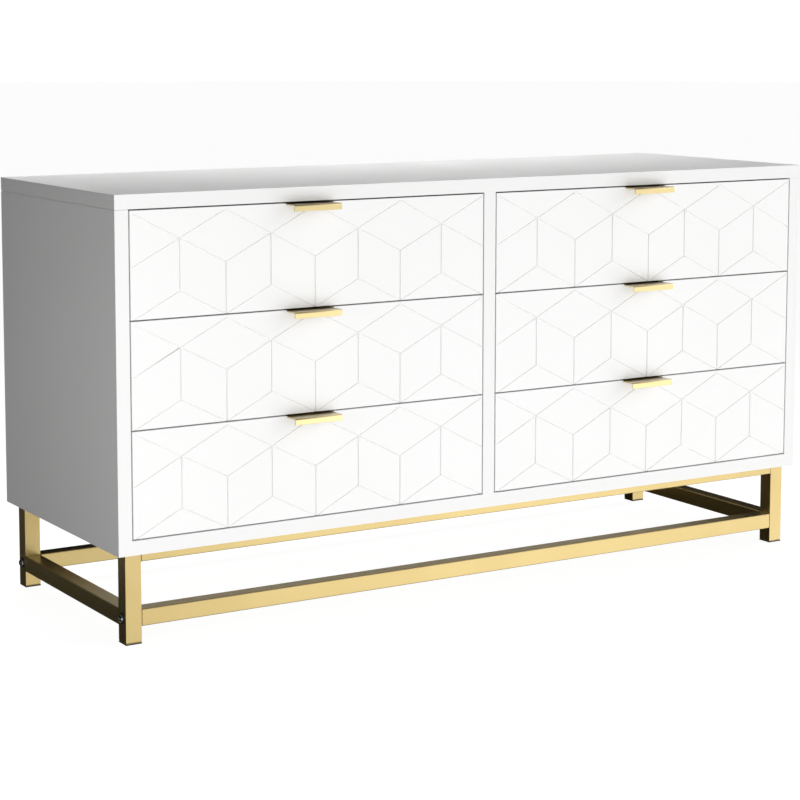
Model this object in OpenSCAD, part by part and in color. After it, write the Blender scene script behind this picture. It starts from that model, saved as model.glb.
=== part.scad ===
// Dresser with six drawers, in two columns of three, on a metal frame.
// Millimetres. X runs along the front, the front faces -Y and Z is up.
// The origin is on the floor, in the middle of the whole object, pulls included.

/* [Cabinet] */
// Width of the cabinet
cabinet_w = 1500; // [1200:10:1830]
// Depth of the cabinet, without the pulls
cabinet_d = 506; // [420:2:610]
// Height of the cabinet, without the frame
cabinet_h = 611.5; // [508:0.5:736]
// Thickness of the top, bottom, sides and divider
board_t = 25; // [20:1:30]
// Thickness of the back panel
back_t = 6; // [4:0.5:8]
// Distance from the rear edges in to the back panel
back_inset = 8; // [4:1:12]
// Gap round every drawer front
gap = 2.6; // [2:0.1:4]
// Width of the shadow line between a side and the top
seam_w = 1; // [0.5:0.1:2]
// Depth of the shadow line
seam_d = 1.5; // [0.5:0.1:3]

/* [Drawer boxes] */
// Thickness of a drawer front
front_t = 18; // [15:1:22]
// Thickness of the box boards
box_t = 12; // [10:1:15]
// Space between the flange of a pull and the box below it
box_clear = 2.7; // [1:0.1:10]
// Space between a box and the back panel
box_behind = 24; // [10:1:60]
// Height of the box above the lower edge of its front
box_lift = 20; // [14:1:26]
// Thickness of the box bottom
bottom_t = 6; // [4:0.5:8]
// Height of the bottom above the lower edge of the box
bottom_lift = 10; // [8:1:14]

/* [Runners] */
// Space each side takes between a box and the cabinet
runner_t = 12.7; // [12.7:0.1:14]
// Height of the cabinet member
runner_h = 45; // [40:1:50]
// Thickness of the runner steel
runner_steel = 1.2; // [1:0.1:1.5]
// Space between a runner and the back panel
runner_behind = 31; // [15:1:60]

/* [Groove pattern] */
// Number of pattern columns on a front
pattern_columns = 8; // [6:2:12]
// Width of a V groove at the surface
groove_w = 2.6; // [1.6:0.1:4]
// Depth of a V groove
groove_d = 1.7; // [0.8:0.1:2.5]
// Plain strip above the pattern
pattern_top = 4.3; // [3:0.1:8]
// Plain strip at each end of the pattern
pattern_side = 3.6; // [3:0.1:8]

/* [Pulls] */
// Length of a pull
pull_l = 94.5; // [80:0.5:160]
// Distance a pull stands out from its front
pull_reach = 30; // [24:1:36]
// Height of the lip that hangs at the front
lip_h = 11; // [9:0.5:16]
// Height of the flange on the back of the front
flange_h = 28; // [26:1:31]
// Thickness of the pull metal
pull_t = 2; // [1.5:0.1:2.5]
// Distance from the middle of the front to the left
pull_left = 9.5; // [0:0.5:40]
// Depth of the rebate that takes the pull in the top edge
rebate_d = 3; // [2.5:0.1:4]

/* [Frame] */
// Height from the floor to the cabinet
frame_h = 158.5; // [132:0.5:200]
// Outer size of the square tube
tube = 30; // [25:1:36]
// Wall of the tube
tube_wall = 2; // [1.5:0.1:3]
// Distance from the sides of the cabinet in to the legs
leg_in_x = 17.5; // [8:0.5:40]
// Distance from the front and back in to the legs
leg_in_y = 14; // [8:0.5:30]
// Height of the stretchers above the floor
stretcher_z = 30; // [25:1:60]
// Height of the rails under the cabinet
rail_h = 16; // [15:1:20]
// Thickness of a foot cap under its leg
foot_t = 2.5; // [2:0.5:5]

/* [Hidden] */
$fn = 32;
eps = 0.01;

// Screws: pan head, all the same head and shank
screw_head_d = 8;
screw_head_h = 2.2;
screw_d = 4;
screw_short = 10;
screw_long = 22;
screw_clear = 0.2;

// Cam locks: a cam in the board and a bolt in the board it meets
cam_d = 15;
cam_h = 15;
cam_from_end = 34;
cam_bolt_d = 6;
cam_bolt_in = 11;
cam_clear = 0.2;

// Frame bolts, washers and corner plates
bolt_d = 8;
bolt_head_d = 14;
bolt_past = 3.4;
washer_d = 18.6;
washer_t = 1.6;
cap_t = 5;
plate_t = 3;
plate_l = 60;
plate_w = 40;
plug_h = 12;
plug_clear = 0.1;

// Runner profile
race_lip = 3;
race_play = 1;
race_depth = 10.5;
member_half = 15;
foot_x = 3;
runner_setback = 3;
runner_rise = 45;

// Derived places
front_y = -(cabinet_d + pull_reach) / 2 + pull_reach;
rear_y = front_y + cabinet_d;
under_z = frame_h;
top_z = frame_h + cabinet_h;
open_w = (cabinet_w - 3 * board_t) / 2;
open_h = cabinet_h - 2 * board_t;
front_w = open_w - 2 * gap;
front_h = (open_h - 4 * gap) / 3;
pitch = front_h + gap;
inner_d = cabinet_d - back_inset - back_t;
groove_in = 6;
back_play = 0.5;
glue = 0.1;
pattern_past = 0.4;
box_w = open_w - 2 * runner_t;
box_h = front_h - box_lift - rebate_d - flange_h - box_clear;
box_l = inner_d - front_t - box_behind;
runner_l = inner_d - front_t - runner_setback - runner_behind;
bolt_l = washer_t + tube + cap_t + bolt_past;
column = (front_w - 2 * pattern_side) / pattern_columns;
rise = (front_h - pattern_top + pattern_past) / 4;
groove_over = eps * groove_w / groove_d / 2;
leg_x = cabinet_w / 2 - leg_in_x - tube;
leg_front_y = front_y + leg_in_y;
leg_rear_y = rear_y - leg_in_y - tube;
cam_front = 60;
cam_rear = inner_d - 60;

SIDES = ["left", "right"];
ROWS = ["top", "middle", "bottom"];
PIECES = ["front", "box", "floor", "pull", "runners", "screws"];

function open_x(c) = -cabinet_w / 2 + board_t + c * (open_w + board_t);
function front_z(r) = top_z - board_t - gap - front_h - r * pitch;
function runner_z(r) = front_z(r) + box_lift + runner_rise;
function runner_y() = front_y + front_t + runner_setback;

// ---------------------------------------------------------------- shared shapes

module block(x, y, z, w, d, h) {
    translate([x, y, z]) cube([w, d, h]);
}

// A pan-head screw: the head sits on the XY plane, the shank goes down -Z
module screw(l) {
    difference() {
        union() {
            cylinder(d = screw_head_d, h = screw_head_h * 0.5);
            translate([0, 0, screw_head_h * 0.5])
                cylinder(d1 = screw_head_d, d2 = screw_head_d * 0.7, h = screw_head_h * 0.5);
            translate([0, 0, -l + 2]) cylinder(d = screw_d, h = l - 2 + eps);
            translate([0, 0, -l]) cylinder(d1 = 1, d2 = screw_d, h = 2);
        }
        translate([0, 0, screw_head_h - 1.4]) cylinder(d = 3, h = 2, $fn = 6);
    }
}

module screw_hole(l) {
    translate([0, 0, -l - 0.5]) cylinder(d = screw_d + screw_clear, h = l + 0.5 + eps);
}

// Places for the screws of one runner member, along its length
module along_runner() {
    for (k = [0.12, 0.5, 0.88]) translate([0, runner_y() + runner_l * k, 0]) children();
}

// ---------------------------------------------------------------- cabinet

// Cam and bolt places of one upright board: z0 and z1 are its ends
module at_cams(z0, z1) {
    for (y = [cam_front, cam_rear]) {
        translate([0, front_y + y, z0 + cam_from_end]) children();
        translate([0, front_y + y, z1 - cam_from_end]) mirror([0, 0, 1]) children();
    }
}

// One cam lock, with the bolt going down to the board's end. face is +1 or -1
module cam_bores(face) {
    rotate([0, 90 * face, 0]) translate([0, 0, board_t / 2 - cam_h]) cylinder(d = cam_d, h = cam_h + 1);
    translate([0, 0, -cam_from_end - 1]) cylinder(d = cam_bolt_d + cam_clear, h = cam_from_end + 2.2);
}

module cam_lock(face) {
    difference() {
        rotate([0, 90 * face, 0]) translate([0, 0, board_t / 2 - cam_h + 0.1])
            cylinder(d = cam_d - cam_clear, h = cam_h - 0.4);
        translate([0, 0, -cam_d]) cylinder(d = cam_bolt_d + 1.4, h = cam_d + 3.5);
        rotate([0, 90 * face, 0]) translate([-4, -0.8, board_t / 2 - 2]) cube([8, 1.6, 4]);
        rotate([0, 90 * face, 0]) translate([-0.8, -4, board_t / 2 - 2]) cube([1.6, 8, 4]);
    }
    translate([0, 0, -cam_from_end - cam_bolt_in]) cylinder(d = cam_bolt_d, h = cam_from_end + cam_bolt_in + 1);
}

module bolt_bores() {
    translate([0, 0, -cam_from_end - cam_bolt_in]) cylinder(d = cam_bolt_d, h = cam_from_end + cam_bolt_in);
}

// X places of the middle of the uprights, and the face their cams are in
UPRIGHTS = [[-cabinet_w / 2 + board_t / 2, 1], [0, -1], [cabinet_w / 2 - board_t / 2, -1]];

module every_cam() {
    for (u = UPRIGHTS) translate([u[0], 0, 0]) at_cams(under_z + board_t, top_z - board_t) children();
}

module back_groove() {
    block(-cabinet_w / 2 + board_t - groove_in, rear_y - back_inset - back_t, under_z + board_t - groove_in,
          cabinet_w - 2 * board_t + 2 * groove_in, back_t, open_h + 2 * groove_in);
}

module level_board(z) {
    difference() {
        block(-cabinet_w / 2, front_y, z, cabinet_w, cabinet_d, board_t);
        back_groove();
        every_cam() bolt_bores();
        plate_places() screw_hole(screw_short);
    }
}

module top_panel() {
    color([0.92, 0.92, 0.91]) level_board(top_z - board_t);
}

module bottom_panel() {
    color([0.92, 0.92, 0.91]) level_board(under_z);
}

// Holes for the screws of the cabinet members, on one face of an upright
module member_holes(c, right) {
    for (r = [0:2]) translate([right ? open_x(c) + open_w : open_x(c), 0, runner_z(r)])
        along_runner() rotate([0, right ? -90 : 90, 0]) screw_hole(screw_short);
}

// The shadow line at the upper end of a side panel, round its outer, front and rear edges
module side_seam(side) {
    x = side < 0 ? -cabinet_w / 2 : cabinet_w / 2 - board_t;
    z = top_z - board_t - seam_w;
    difference() {
        block(x - 1, front_y - 1, z, board_t + 2, cabinet_d + 2, seam_w + 1);
        block(side < 0 ? x + seam_d : x - 2, front_y + seam_d, z - 1,
              board_t + 2 - seam_d, cabinet_d - 2 * seam_d, seam_w + 2);
    }
}

module side_panel(side) {
    face = side < 0 ? 1 : -1;
    difference() {
        block(side < 0 ? -cabinet_w / 2 : cabinet_w / 2 - board_t, front_y, under_z + board_t,
              board_t, cabinet_d, open_h);
        side_seam(side);
        back_groove();
        translate([side * (cabinet_w - board_t) / 2, 0, 0])
            at_cams(under_z + board_t, top_z - board_t) cam_bores(face);
        if (side < 0) member_holes(0, false);
        if (side > 0) member_holes(1, true);
    }
}

module side_panel_left() {
    color([0.90, 0.90, 0.89]) side_panel(-1);
}

module side_panel_right() {
    color([0.90, 0.90, 0.89]) side_panel(1);
}

module centre_divider() {
    color([0.90, 0.90, 0.89]) difference() {
        block(-board_t / 2, front_y, under_z + board_t, board_t, inner_d, open_h);
        at_cams(under_z + board_t, top_z - board_t) cam_bores(-1);
        member_holes(0, true);
        member_holes(1, false);
    }
}

module back_panel() {
    color([0.85, 0.85, 0.84])
        block(-cabinet_w / 2 + board_t - groove_in + back_play, rear_y - back_inset - back_t,
              under_z + board_t - groove_in,
              cabinet_w - 2 * board_t + 2 * (groove_in - back_play), back_t,
              open_h + 2 * groove_in - back_play);
}

module cam_locks() {
    color([0.70, 0.70, 0.72]) for (u = UPRIGHTS) translate([u[0], 0, 0])
        at_cams(under_z + board_t, top_z - board_t) cam_lock(u[1]);
}

// ---------------------------------------------------------------- runners

// Section of the cabinet member: X is the distance from the cabinet board
module cabinet_member_section() {
    h = runner_h / 2;
    translate([0, -h]) square([runner_steel, runner_h]);
    for (m = [0, 1]) mirror([0, m]) {
        translate([0, h - runner_steel]) square([race_depth, runner_steel]);
        translate([race_depth - runner_steel, h - runner_steel - race_lip]) square([runner_steel, race_lip + runner_steel]);
    }
}

// Section of the drawer member, in the same place as the cabinet member's
module drawer_member_section() {
    h = runner_h / 2 - runner_steel - race_play;
    translate([runner_t - runner_steel, -member_half]) square([runner_steel, 2 * member_half]);
    for (m = [0, 1]) mirror([0, m]) {
        translate([foot_x, member_half - runner_steel]) square([runner_t - foot_x, runner_steel]);
        translate([foot_x, member_half - runner_steel]) square([runner_steel, h - member_half + runner_steel]);
    }
}

// Stands a section up and runs it back from the front of the runners
module run_back() {
    translate([0, runner_y() + runner_l, 0]) rotate([90, 0, 0]) linear_extrude(runner_l) children();
}

// Puts its children at the left or right runner of drawer (c, r)
module at_runner(c, r, right) {
    translate([right ? open_x(c) + open_w : open_x(c), 0, runner_z(r)])
        mirror([right ? 1 : 0, 0, 0]) children();
}

module cabinet_member() {
    difference() {
        run_back() cabinet_member_section();
        along_runner() rotate([0, 90, 0]) cylinder(d = screw_d + screw_clear, h = 5, center = true);
    }
}

module drawer_member() {
    difference() {
        run_back() drawer_member_section();
        translate([runner_t, 0, 0]) along_runner() rotate([0, 90, 0])
            cylinder(d = screw_d + screw_clear, h = 5, center = true);
    }
}

module cabinet_runners(c) {
    color([0.66, 0.67, 0.69]) for (r = [0:2]) for (right = [false, true]) at_runner(c, r, right) cabinet_member();
}

module cabinet_runners_left() {
    cabinet_runners(0);
}

module cabinet_runners_right() {
    cabinet_runners(1);
}

module cabinet_screws() {
    color([0.74, 0.74, 0.76]) {
        for (c = [0, 1]) for (r = [0:2]) for (right = [false, true]) at_runner(c, r, right)
            translate([runner_steel, 0, 0]) along_runner() rotate([0, 90, 0]) screw(screw_short);
        plate_places() translate([0, 0, plate_t]) screw(screw_short);
    }
}

// ---------------------------------------------------------------- frame

// The four corners: children are drawn for the front left one
module corners() {
    for (x = [0, 1]) for (y = [0, 1])
        translate([0, (front_y + rear_y) / 2, 0]) mirror([x, 0, 0]) mirror([0, y, 0])
            translate([0, -(front_y + rear_y) / 2, 0]) children();
}

module leg() {
    difference() {
        block(-leg_x - tube, leg_front_y, foot_t, tube, tube, under_z - foot_t);
        block(-leg_x - tube + tube_wall, leg_front_y + tube_wall, foot_t - 1,
              tube - 2 * tube_wall, tube - 2 * tube_wall, under_z - foot_t - tube_wall + 1);
        translate([-leg_x - tube - 1, leg_front_y + tube / 2, stretcher_z + tube / 2])
            rotate([0, 90, 0]) cylinder(d = bolt_d + 0.4, h = tube + 2);
    }
}

// Moves the front left leg to another corner
module to_corner(right, rear) {
    translate([0, (front_y + rear_y) / 2, 0]) mirror([right, 0, 0]) mirror([0, rear, 0])
        translate([0, -(front_y + rear_y) / 2, 0]) children();
}

module leg_front_left() {
    color([0.80, 0.66, 0.38]) leg();
}

module leg_front_right() {
    color([0.80, 0.66, 0.38]) to_corner(1, 0) leg();
}

module leg_rear_left() {
    color([0.80, 0.66, 0.38]) to_corner(0, 1) leg();
}

module leg_rear_right() {
    color([0.80, 0.66, 0.38]) to_corner(1, 1) leg();
}

// A long stretcher, closed at both ends with a threaded cap
module long_stretcher() {
    difference() {
        block(-leg_x, leg_front_y, stretcher_z, 2 * leg_x, tube, tube);
        block(-leg_x + cap_t, leg_front_y + tube_wall, stretcher_z + tube_wall,
              2 * (leg_x - cap_t), tube - 2 * tube_wall, tube - 2 * tube_wall);
        translate([-leg_x - 1, leg_front_y + tube / 2, stretcher_z + tube / 2])
            rotate([0, 90, 0]) cylinder(d = bolt_d, h = 2 * leg_x + 2);
    }
}

module stretcher_front() {
    color([0.80, 0.66, 0.38]) long_stretcher();
}

module stretcher_rear() {
    color([0.80, 0.66, 0.38]) to_corner(0, 1) long_stretcher();
}

module side_stretcher() {
    y = leg_front_y + tube;
    difference() {
        block(-leg_x - tube, y, stretcher_z, tube, leg_rear_y - y, tube);
        block(-leg_x - tube + tube_wall, y - 1, stretcher_z + tube_wall,
              tube - 2 * tube_wall, leg_rear_y - y + 2, tube - 2 * tube_wall);
    }
}

module stretcher_left() {
    color([0.80, 0.66, 0.38]) side_stretcher();
}

module stretcher_right() {
    color([0.80, 0.66, 0.38]) to_corner(1, 0) side_stretcher();
}

module rail() {
    difference() {
        block(-leg_x, leg_front_y, under_z - rail_h, 2 * leg_x, tube, rail_h);
        block(-leg_x - 1, leg_front_y + tube_wall, under_z - rail_h + tube_wall,
              2 * leg_x + 2, tube - 2 * tube_wall, rail_h - 2 * tube_wall);
    }
}

module rail_front() {
    color([0.80, 0.66, 0.38]) rail();
}

module rail_rear() {
    color([0.80, 0.66, 0.38]) to_corner(0, 1) rail();
}

// Where the screws of the corner plates go up into the bottom panel
module plate_places() {
    corners() for (x = [0.3, 0.8])
        translate([-leg_x - tube + (plate_l + tube) * x, leg_front_y + tube + plate_w * 0.6, under_z])
            rotate([180, 0, 0]) children();
}

module corner_plates() {
    color([0.80, 0.66, 0.38]) difference() {
        corners() block(-leg_x - tube, leg_front_y + tube, under_z - plate_t, plate_l + tube, plate_w, plate_t);
        plate_places() translate([0, 0, -1]) cylinder(d = screw_d + screw_clear, h = plate_t + 2);
    }
}

module foot_caps() {
    plug = tube - 2 * tube_wall - 2 * plug_clear;
    color([0.08, 0.08, 0.08]) corners() {
        block(-leg_x - tube, leg_front_y, 0, tube, tube, foot_t);
        block(-leg_x - tube + tube_wall + plug_clear, leg_front_y + tube_wall + plug_clear, foot_t - eps,
              plug, plug, plug_h);
    }
}

// Axis of a frame bolt at the front left leg, from its outer face inwards
module at_bolts() {
    corners() translate([-leg_x - tube, leg_front_y + tube / 2, stretcher_z + tube / 2])
        rotate([0, 90, 0]) children();
}

module frame_bolts() {
    color([0.78, 0.79, 0.80]) at_bolts() difference() {
        union() {
            translate([0, 0, -washer_t]) cylinder(d = bolt_d, h = bolt_l);
            translate([0, 0, -washer_t - 1.5]) cylinder(d = bolt_head_d, h = 1.5);
            translate([0, 0, -washer_t - 4.4]) cylinder(d1 = bolt_head_d * 0.6, d2 = bolt_head_d, h = 2.9 + eps);
        }
        translate([0, 0, -washer_t - 5]) cylinder(d = 5.6, h = 3.2, $fn = 6);
    }
}

module frame_washers() {
    color([0.10, 0.10, 0.10]) at_bolts() difference() {
        translate([0, 0, -washer_t]) cylinder(d = washer_d, h = washer_t);
        translate([0, 0, -washer_t - 1]) cylinder(d = bolt_d, h = washer_t + 2);
    }
}

// ---------------------------------------------------------------- drawers

// A V groove from p to q on the face of a front: X and the distance down from the top.
// k scales its section and run is how far it goes on past both points, so that grooves
// of different directions cross cleanly instead of ending in one point
module v_groove(p, q, k, run) {
    d = q - p;
    w = groove_w * k;
    translate([p[0], 0, front_h - p[1]]) rotate([0, atan2(d[1], d[0]), 0]) rotate([0, 90, 0])
        translate([0, 0, -run]) linear_extrude(norm(d) + 2 * run)
            polygon([[-w / 2 - groove_over, -eps], [w / 2 + groove_over, -eps], [0, groove_d * k]]);
}

// Height of each level of the pattern, down from the top of a front
function level(k) = pattern_top + k * rise;

// X of each column line of the pattern
function column_x(i) = pattern_side + i * column;

// The pattern: stacked boxes, drawn as grooves between the points of a grid
module pattern() {
    for (i = [0:2:pattern_columns - 2]) {
        v_groove([column_x(i), level(0)], [column_x(i + 2), level(2)], 1, 0.4);
        v_groove([column_x(i + 2), level(0)], [column_x(i), level(2)], 0.94, 0.6);
        v_groove([column_x(i + 1), level(3)], [column_x(i + 2), level(4)], 1, 0.4);
        v_groove([column_x(i + 1), level(3)], [column_x(i), level(4)], 0.94, 0.6);
        v_groove([column_x(i + 1), level(1)], [column_x(i + 1), level(3)], 1.06, 0.3);
    }
    for (i = [2:2:pattern_columns - 2])
        v_groove([column_x(i), level(2)], [column_x(i), level(4)], 1.06, 0.3);
}

// Middle of the pull along the front, from its left end
function pull_x() = front_w / 2 - pull_left;

// Everything of one drawer is drawn from the lower left corner of its front's face
module at_drawer(c, r) {
    translate([open_x(c) + gap, front_y, front_z(r)]) children();
}

module pull_screw_places() {
    for (x = [-0.3, 0.3])
        translate([pull_x() + x * pull_l, front_t, front_h - rebate_d - flange_h * 0.62])
            rotate([-90, 0, 0]) children();
}

module front_screw_places() {
    for (x = [0.1, 0.37, 0.63, 0.9])
        translate([gap_to_box() + box_w * x, front_t + box_t, box_lift + box_h * 0.5])
            rotate([-90, 0, 0]) children();
}

// From the end of a front in to the side of its box
function gap_to_box() = runner_t - gap;

module drawer_front() {
    difference() {
        cube([front_w, front_t, front_h]);
        pattern();
        block(pull_x() - pull_l / 2, -1, front_h - rebate_d, pull_l, front_t + 2, rebate_d + 1);
        block(pull_x() - pull_l / 2, front_t - pull_t, front_h - rebate_d - flange_h,
              pull_l, pull_t + 1, flange_h + 1);
        pull_screw_places() screw_hole(screw_short);
        front_screw_places() screw_hole(screw_long);
    }
}

// Section of a pull: X goes back from the front of the lip, Y goes up from its lower edge
module pull_section() {
    deep = pull_reach + front_t;
    bend = pull_t + 0.5;
    difference() {
        union() {
            square([pull_t, lip_h - bend]);
            translate([bend, lip_h - pull_t]) square([deep - bend, pull_t]);
            translate([deep - pull_t, lip_h - flange_h - pull_t]) square([pull_t, flange_h + pull_t]);
            translate([bend, lip_h - bend]) intersection() {
                circle(r = bend);
                translate([-bend, 0]) square([bend, bend]);
            }
        }
        translate([bend, lip_h - bend]) circle(r = bend - pull_t);
    }
}

module drawer_pull() {
    difference() {
        translate([pull_x() - pull_l / 2, -pull_reach, front_h - rebate_d + pull_t - lip_h])
            rotate([90, 0, 90]) linear_extrude(pull_l) pull_section();
        pull_screw_places() screw_hole(screw_short);
    }
}

module box_bottom_space(play) {
    t = box_t / 2 - play;
    block(gap_to_box() + box_t - t, front_t + box_t - t, box_lift + bottom_lift,
          box_w - 2 * box_t + 2 * t, box_l - 2 * box_t + 2 * t, bottom_t);
}

module member_screw_holes() {
    for (right = [0, 1]) translate([right ? gap_to_box() + box_w : gap_to_box(), -front_y, box_lift + runner_rise])
        along_runner() rotate([0, right ? 90 : -90, 0]) screw_hole(screw_short - runner_steel);
}

// Four boards: the sides run full length, the ends stand between them with a glue line
module drawer_box() {
    x = gap_to_box();
    difference() {
        union() {
            block(x, front_t, box_lift, box_t, box_l, box_h);
            block(x + box_w - box_t, front_t, box_lift, box_t, box_l, box_h);
        }
        box_bottom_space(0);
        member_screw_holes();
    }
    difference() {
        for (y = [front_t, front_t + box_l - box_t])
            block(x + box_t + glue, y, box_lift, box_w - 2 * (box_t + glue), box_t, box_h);
        box_bottom_space(0);
        front_screw_places() screw_hole(screw_long);
    }
}

module drawer_floor() {
    box_bottom_space(0.5);
}

module drawer_runners() {
    for (right = [false, true])
        translate([right ? open_w - gap : -gap, -front_y, box_lift + runner_rise])
            mirror([right ? 1 : 0, 0, 0]) drawer_member();
}

module drawer_screws() {
    front_screw_places() screw(screw_long);
    pull_screw_places() screw(screw_short);
    for (right = [0, 1])
        translate([right ? gap_to_box() + box_w + runner_steel : gap_to_box() - runner_steel, -front_y,
                   box_lift + runner_rise])
            along_runner() rotate([0, right ? 90 : -90, 0]) screw(screw_short);
}

module drawer_piece(c, r, piece) {
    at_drawer(c, r) {
        if (piece == "front") color([0.95, 0.95, 0.94]) drawer_front();
        if (piece == "box") color([0.88, 0.86, 0.82]) drawer_box();
        if (piece == "floor") color([0.86, 0.84, 0.80]) drawer_floor();
        if (piece == "pull") color([0.82, 0.68, 0.40]) drawer_pull();
        if (piece == "runners") color([0.66, 0.67, 0.69]) drawer_runners();
        if (piece == "screws") color([0.74, 0.74, 0.76]) drawer_screws();
    }
}

// ---------------------------------------------------------------- drawing

top_panel();
bottom_panel();
side_panel_left();
side_panel_right();
centre_divider();
back_panel();
cam_locks();
cabinet_runners_left();
cabinet_runners_right();
cabinet_screws();
leg_front_left();
leg_front_right();
leg_rear_left();
leg_rear_right();
stretcher_front();
stretcher_rear();
stretcher_left();
stretcher_right();
rail_front();
rail_rear();
corner_plates();
foot_caps();
frame_bolts();
frame_washers();
for (c = [0, 1]) for (r = [0:2]) for (p = PIECES)
    drawer_piece(c, r, p);
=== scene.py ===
"""The looks of the dresser.

Paint, lacquer, board and steel on the CAD parts, rounded edges, floor, light and camera.
Lengths are in metres unless a name or comment says millimetres.
"""

import math

import bpy
from mathutils import Matrix, Vector


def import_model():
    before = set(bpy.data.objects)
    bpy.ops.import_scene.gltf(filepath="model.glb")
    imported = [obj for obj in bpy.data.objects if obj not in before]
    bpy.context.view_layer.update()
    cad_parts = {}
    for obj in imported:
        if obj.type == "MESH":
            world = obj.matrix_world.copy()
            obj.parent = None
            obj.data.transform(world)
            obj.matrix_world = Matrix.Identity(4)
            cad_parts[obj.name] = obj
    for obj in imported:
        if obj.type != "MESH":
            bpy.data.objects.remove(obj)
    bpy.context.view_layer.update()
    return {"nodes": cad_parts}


MM = 0.001

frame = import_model()
nodes = frame["nodes"]

# ---------------------------------------------------------------- camera
CAMERA_AT = Vector((-2.2070, -3.4691, 1.0409))
CAMERA_YAW = math.radians(30.7131)
CAMERA_PITCH = math.radians(-6.2516)
CAMERA_ROLL = math.radians(0.0633)
CAMERA_LENS = 96.2817  # mm
CAMERA_SENSOR = 36  # mm
CAMERA_SHIFT = (0.0562, -0.17)
CAMERA_CLIP = (0.1, 200)


def camera():
    """The photograph's viewpoint, with a small part of its vertical shift."""
    forward = Vector((
        math.sin(CAMERA_YAW) * math.cos(CAMERA_PITCH),
        math.cos(CAMERA_YAW) * math.cos(CAMERA_PITCH),
        math.sin(CAMERA_PITCH),
    ))
    right = Vector((math.cos(CAMERA_YAW), -math.sin(CAMERA_YAW), 0))
    up = right.cross(forward)
    turn = Matrix.Rotation(CAMERA_ROLL, 3, forward)
    right, up = turn @ right, turn @ up
    data = bpy.data.cameras.new("camera")
    data.lens = CAMERA_LENS
    data.sensor_width = CAMERA_SENSOR
    data.shift_x, data.shift_y = CAMERA_SHIFT
    data.clip_start, data.clip_end = CAMERA_CLIP
    cam = bpy.data.objects.new("camera", data)
    bpy.context.scene.collection.objects.link(cam)
    facing = Matrix((right, up, -forward)).transposed().to_4x4()
    cam.matrix_world = Matrix.Translation(CAMERA_AT) @ facing
    bpy.context.scene.camera = cam


# ---------------------------------------------------------------- node helpers
# Most of a noise texture's values lie between these two
NOISE_LOW, NOISE_HIGH = 0.3, 0.7
# Places of the colour sockets of a Mix node
MIX_FIRST, MIX_SECOND, MIX_RESULT = 6, 7, 2


class Shader:
    """A material with a Principled BSDF, and short calls to add nodes in object space."""

    def __init__(self, name, **values):
        self.material = bpy.data.materials.new(name)
        self.material.use_nodes = True
        self.tree = self.material.node_tree
        self.bsdf = self.tree.nodes["Principled BSDF"]
        self.place = self.tree.nodes.new("ShaderNodeTexCoord").outputs["Object"]
        for key, value in values.items():
            self.bsdf.inputs[key.replace("_", " ")].default_value = value

    def node(self, kind, inputs, **settings):
        """A new node, with each input linked to a socket or set to a value."""
        made = self.tree.nodes.new(kind)
        for key, value in settings.items():
            setattr(made, key, value)
        for key, value in inputs.items():
            if isinstance(value, bpy.types.NodeSocket):
                self.tree.links.new(value, made.inputs[key])
            else:
                made.inputs[key].default_value = value
        return made

    def scaled(self, scale):
        """Object coordinates multiplied by scale, one number for each axis."""
        inputs = {0: self.place, 1: scale}
        made = self.node("ShaderNodeVectorMath", inputs, operation="MULTIPLY")
        return made.outputs[0]

    def noise(self, scale, detail, place=None, roughness=0.5):
        """Noise of scale cycles per metre, mostly from NOISE_LOW to NOISE_HIGH."""
        made = self.node("ShaderNodeTexNoise", {
            "Vector": place or self.place, "Scale": scale,
            "Detail": detail, "Roughness": roughness,
        })
        return made.outputs["Fac"]

    def spread(self, value, low, high):
        """Maps the middle of a noise to low..high."""
        made = self.node("ShaderNodeMapRange", {
            "Value": value, "From Min": NOISE_LOW, "From Max": NOISE_HIGH,
            "To Min": low, "To Max": high,
        })
        return made.outputs["Result"]

    def mix(self, factor, first, second):
        """A colour between two colours, by a factor from 0 to 1."""
        made = self.node("ShaderNodeMix", {"Factor": factor}, data_type="RGBA")
        made.inputs[MIX_FIRST].default_value = (*first, 1)
        made.inputs[MIX_SECOND].default_value = (*second, 1)
        return made.outputs[MIX_RESULT]

    def to(self, name, value):
        """Links a socket to an input of the Principled BSDF."""
        self.tree.links.new(value, self.bsdf.inputs[name])

    def bump(self, height, distance, strength, under=None):
        """A normal raised by height, on top of another normal if one is given."""
        inputs = {"Height": height, "Distance": distance, "Strength": strength}
        if under is not None:
            inputs["Normal"] = under
        return self.node("ShaderNodeBump", inputs).outputs["Normal"]


# ---------------------------------------------------------------- materials
def satin_paint(name, light, dark, gloss):
    """Sprayed satin paint on fibreboard: orange peel, slight unevenness of colour and gloss."""
    tint_scale, gloss_scale, peel_scale, fibre_scale = 3.1, 9, 420, 38
    peel_height, fibre_height = 0.03 * MM, 0.12 * MM
    s = Shader(name, IOR=1.48)
    s.to("Base Color", s.mix(s.spread(s.noise(tint_scale, 2), 0, 1), light, dark))
    s.to("Roughness", s.spread(s.noise(gloss_scale, 4), gloss - 0.04, gloss + 0.05))
    peel = s.noise(peel_scale, 2)
    fibre = s.noise(fibre_scale, 3)
    waves = s.bump(fibre, fibre_height, 0.35)
    s.to("Normal", s.bump(peel, peel_height, 0.5, under=waves))
    return s.material


def gold_lacquer(name, colour, deep, gloss, along):
    """Gold metal with a very fine brushed grain along one axis, under clear lacquer."""
    cloud_scale, grain_height = 7, 0.004 * MM
    s = Shader(name, Metallic=1.0, Coat_Weight=1.0, Coat_Roughness=0.25, IOR=1.5)
    grain = s.noise(1, 2, place=s.scaled(along))
    cloud = s.noise(cloud_scale, 3)
    s.to("Base Color", s.mix(s.spread(cloud, 0, 1), colour, deep))
    s.to("Roughness", s.spread(grain, gloss - 0.02, gloss + 0.03))
    s.to("Normal", s.bump(grain, grain_height, 0.2))
    return s.material


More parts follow.
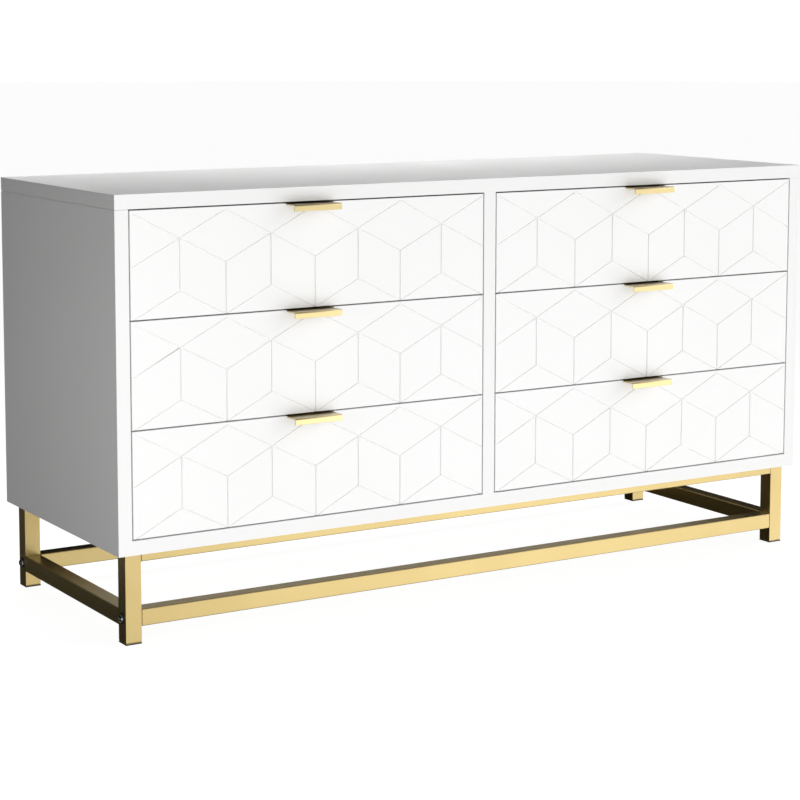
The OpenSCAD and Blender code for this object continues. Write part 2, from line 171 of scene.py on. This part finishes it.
def steel(name, colour, gloss):
    """Zinc plated steel with a faint spangle."""
    spangle_scale, gloss_scale, grit_scale, grit_height = 60, 180, 300, 0.02 * MM
    darker = [c * 0.82 for c in colour]
    s = Shader(name, Metallic=1.0)
    s.to("Base Color", s.mix(s.spread(s.noise(spangle_scale, 2), 0, 1), colour, darker))
    s.to("Roughness", s.spread(s.noise(gloss_scale, 3), gloss - 0.06, gloss + 0.08))
    s.to("Normal", s.bump(s.noise(grit_scale, 2), grit_height, 0.3))
    return s.material


def moulded(name, colour, gloss):
    """Black moulded plastic with a fine texture."""
    tint_scale, gloss_scale, texture_scale, texture_height = 30, 90, 900, 0.04 * MM
    lighter = [c * 1.6 for c in colour]
    s = Shader(name, IOR=1.46)
    s.to("Base Color", s.mix(s.spread(s.noise(tint_scale, 2), 0, 1), colour, lighter))
    s.to("Roughness", s.spread(s.noise(gloss_scale, 3), gloss - 0.05, gloss + 0.08))
    s.to("Normal", s.bump(s.noise(texture_scale, 2), texture_height, 0.5))
    return s.material


def board(name, pale, deep, along):
    """Pale laminated board with a quiet straight grain along X or Y."""
    length_scale, width_scale, grain_height = 2.2, 70, 0.05 * MM
    if along == "X":
        stretch = (length_scale, width_scale, width_scale)
    else:
        stretch = (width_scale, length_scale, width_scale)
    s = Shader(name, IOR=1.47)
    grain = s.noise(1, 5, place=s.scaled(stretch), roughness=0.62)
    s.to("Base Color", s.mix(s.spread(grain, 0, 1), pale, deep))
    s.to("Roughness", s.spread(grain, 0.42, 0.58))
    s.to("Normal", s.bump(grain, grain_height, 0.4))
    return s.material


WHITE = (0.90, 0.90, 0.895)
WHITE_SHADE = (0.88, 0.88, 0.874)
FRONT = (0.93, 0.93, 0.925)
FRONT_SHADE = (0.915, 0.915, 0.908)
GOLD = (0.505, 0.385, 0.147)
GOLD_DEEP = (0.475, 0.355, 0.13)
PULL = (0.66, 0.535, 0.255)
PULL_DEEP = (0.62, 0.50, 0.23)

BACK = (0.80, 0.80, 0.79)
BACK_SHADE = (0.74, 0.74, 0.73)
BOX = (0.74, 0.70, 0.63)
BOX_GRAIN = (0.66, 0.61, 0.53)
# How tightly the brushed grain is packed along and across a tube, in cycles per metre
ALONG, ACROSS = 12, 2600
FRAME_GLOSS = 0.40
PULL_GLOSS = 0.30

paint_white = satin_paint("paint_white", WHITE, WHITE_SHADE, 0.42)
paint_front = satin_paint("paint_front", FRONT, FRONT_SHADE, 0.40)
back_white = board("back_white", BACK, BACK_SHADE, "X")
gold_x = gold_lacquer("frame_gold_x", GOLD, GOLD_DEEP, FRAME_GLOSS, (ALONG, ACROSS, ACROSS))
gold_y = gold_lacquer("frame_gold_y", GOLD, GOLD_DEEP, FRAME_GLOSS, (ACROSS, ALONG, ACROSS))
gold_z = gold_lacquer("frame_gold_z", GOLD, GOLD_DEEP, FRAME_GLOSS, (ACROSS, ACROSS, ALONG))
gold_pull = gold_lacquer("pull_gold", PULL, PULL_DEEP, PULL_GLOSS, (ALONG, ACROSS, ACROSS))
runner = steel("runner_steel", (0.62, 0.63, 0.65), 0.34)
screws = steel("screw_steel", (0.66, 0.66, 0.67), 0.28)
chrome = steel("bolt_chrome", (0.86, 0.86, 0.88), 0.22)
washer = moulded("washer_black", (0.015, 0.015, 0.015), 0.5)
cap = moulded("cap_black", (0.012, 0.012, 0.012), 0.55)
box_x = board("box_wood_x", BOX, BOX_GRAIN, "X")
box_y = board("box_wood_y", BOX, BOX_GRAIN, "Y")


# ---------------------------------------------------------------- parts
# Nodes of painted board, and the rounding of the tubes in millimetres
CARCASS = ("top_panel", "bottom_panel", "side_panel_left", "side_panel_right", "centre_divider")
TUBE_EDGE = 2.2


def look(name):
    """The material of a CAD node, and the radius of its edges in millimetres."""
    if name in CARCASS:
        return paint_white, 0.7
    if name == "back_panel":
        return back_white, 0.3
    if name.startswith("leg_"):
        return gold_z, TUBE_EDGE
    if name in ("stretcher_left", "stretcher_right"):
        return gold_y, TUBE_EDGE
    if name.startswith(("stretcher_", "rail_")):
        return gold_x, TUBE_EDGE
    if name == "corner_plates":
        return gold_x, 0.4
    if name == "foot_caps":
        return cap, 0.5
    if name == "frame_bolts":
        return chrome, 0.2
    if name == "frame_washers":
        return washer, 0.3
    if name.endswith("_pull"):
        return gold_pull, 0.35
    if name.endswith("_front"):
        return paint_front, 0.5
    if name.endswith("_box"):
        return box_y, 0.5
    if name.endswith("_floor"):
        return box_x, 0.2
    if name.endswith("screws") or name == "cam_locks":
        return screws, 0
    return runner, 0.3


# Edges sharper than this are rounded
EDGE_ANGLE = math.radians(75)
WELD_DISTANCE = 0.002 * MM
BEVEL_SEGMENTS = 3


def dress(name, obj):
    """Gives a CAD node its material and rounds its edges."""
    material, radius = look(name)
    obj.data.materials.clear()
    obj.data.materials.append(material)
    if radius:
        weld = obj.modifiers.new("join_faces", "WELD")
        weld.merge_threshold = WELD_DISTANCE
        bevel = obj.modifiers.new("edges", "BEVEL")
        bevel.width = radius * MM
        bevel.segments = BEVEL_SEGMENTS
        bevel.limit_method = "ANGLE"
        bevel.angle_limit = EDGE_ANGLE
        bevel.harden_normals = True


for name, obj in nodes.items():
    dress(name, obj)


# ---------------------------------------------------------------- floor and backdrop
def glowing(name, strength, paint=0.0):
    """Matt grey paint that also gives off white light."""
    made = bpy.data.materials.new(name)
    made.use_nodes = True
    bsdf = made.node_tree.nodes["Principled BSDF"]
    bsdf.inputs["Base Color"].default_value = (paint, paint, paint, 1)
    bsdf.inputs["Roughness"].default_value = 0.9
    bsdf.inputs["Specular IOR Level"].default_value = 0
    bsdf.inputs["Emission Color"].default_value = (1, 1, 1, 1)
    bsdf.inputs["Emission Strength"].default_value = strength
    return made


def disc(name, radius):
    """A flat disc on the ground."""
    count = 96
    turns = [2 * math.pi * i / count for i in range(count)]
    ring = [(radius * math.cos(turn), radius * math.sin(turn), 0) for turn in turns]
    mesh = bpy.data.meshes.new(name)
    mesh.from_pydata(ring, [], [list(range(count))])
    obj = bpy.data.objects.new(name, mesh)
    bpy.context.scene.collection.objects.link(obj)
    return obj


def dome(name, radius):
    """A sphere round the whole scene."""
    bpy.ops.mesh.primitive_uv_sphere_add(segments=48, ring_count=24, radius=radius)
    obj = bpy.context.object
    obj.name = name
    return obj


# The floor and the backdrop are for the camera only and light nothing
FLOOR_RADIUS, FLOOR_GLOW, FLOOR_PAINT = 40, 0.93, 0.2
BACKDROP_RADIUS, BACKDROP_GLOW = 60, 1.2

floor = disc("floor", FLOOR_RADIUS)
floor.data.materials.append(glowing("floor_pale", FLOOR_GLOW, FLOOR_PAINT))
floor.visible_diffuse = floor.visible_glossy = floor.visible_shadow = False
backdrop = dome("backdrop", BACKDROP_RADIUS)
backdrop.data.materials.append(glowing("backdrop_pale", BACKDROP_GLOW))
backdrop.visible_diffuse = backdrop.visible_glossy = backdrop.visible_shadow = False
backdrop.visible_transmission = False


# ---------------------------------------------------------------- light
# How fast a lobe of light fades away from its middle
LOBE_SHARPNESS = 12.0
# Soft white lights round the room: azimuth from +X towards +Y, elevation, and strength
LOBES = [
    (-28, 22, 2.5),
    (-28, -20, 3.5),
    (-105, 12, 1.4),
    (-100, -30, 1.8),
    (55, -38, 1.0),
]


def world(lobes):
    """A studio of wide soft lights, each a smooth lobe of light from one direction."""
    made = bpy.data.worlds.new("studio")
    bpy.context.scene.world = made
    made.use_nodes = True
    tree = made.node_tree
    links = tree.links
    way = tree.nodes.new("ShaderNodeTexCoord").outputs["Generated"]
    total = None
    for azimuth, elevation, strength in lobes:
        turn, lift = math.radians(azimuth), math.radians(elevation)
        middle = (math.cos(turn) * math.cos(lift), math.sin(turn) * math.cos(lift), math.sin(lift))
        near = tree.nodes.new("ShaderNodeVectorMath")
        near.operation = "DOT_PRODUCT"
        near.inputs[1].default_value = middle
        links.new(way, near.inputs[0])
        power = tree.nodes.new("ShaderNodeMath")
        power.operation = "MULTIPLY_ADD"
        power.inputs[1].default_value = LOBE_SHARPNESS
        power.inputs[2].default_value = -LOBE_SHARPNESS
        links.new(near.outputs["Value"], power.inputs[0])
        lobe = tree.nodes.new("ShaderNodeMath")
        lobe.operation = "EXPONENT"
        links.new(power.outputs[0], lobe.inputs[0])
        light = tree.nodes.new("ShaderNodeVectorMath")
        light.operation = "MULTIPLY_ADD"
        light.inputs[1].default_value = (strength, strength, strength)
        links.new(lobe.outputs[0], light.inputs[0])
        if total is not None:
            links.new(total, light.inputs[2])
        total = light.outputs[0]
    links.new(total, tree.nodes["Background"].inputs["Color"])


def softbox(name, place, target, size, power, glossy=True):
    """A rectangular light at place that faces target, unseen by the camera."""
    data = bpy.data.lights.new(name, "AREA")
    data.shape = "RECTANGLE"
    data.size, data.size_y = size
    data.energy = power
    obj = bpy.data.objects.new(name, data)
    bpy.context.scene.collection.objects.link(obj)
    obj.location = place
    obj.rotation_euler = (Vector(target) - Vector(place)).to_track_quat("-Z", "Y").to_euler()
    obj.visible_camera = False
    obj.visible_glossy = glossy


camera()
world(LOBES)
# Place, target, size and power in watts
softbox("front", (0.7, -2.3, 0.3), (0, -0.24, 0.45), (1.4, 1.4), 2.2)
softbox("front_low", (0.6, -1.9, -0.15), (0, -0.24, 0.4), (1.8, 0.9), 4.5)
softbox("rear_left", (-1.7, 1.0, 0.1), (-0.75, -0.2, 0.1), (0.8, 0.6), 0.6)
softbox("left", (-1.75, -0.75, 0.45), (-0.75, -0.1, 0.45), (0.8, 0.8), 4.0, glossy=False)
softbox("rear_top", (-0.1, 1.0, 1.4), (-0.3, -0.1, 0.77), (2.0, 0.5), 16.5, glossy=False)
softbox("rear_top_right", (1.0, 1.3, 2.3), (0.2, 0, 0.77), (1.2, 0.5), 20, glossy=False)

bpy.context.scene.view_settings.view_transform = "Standard"
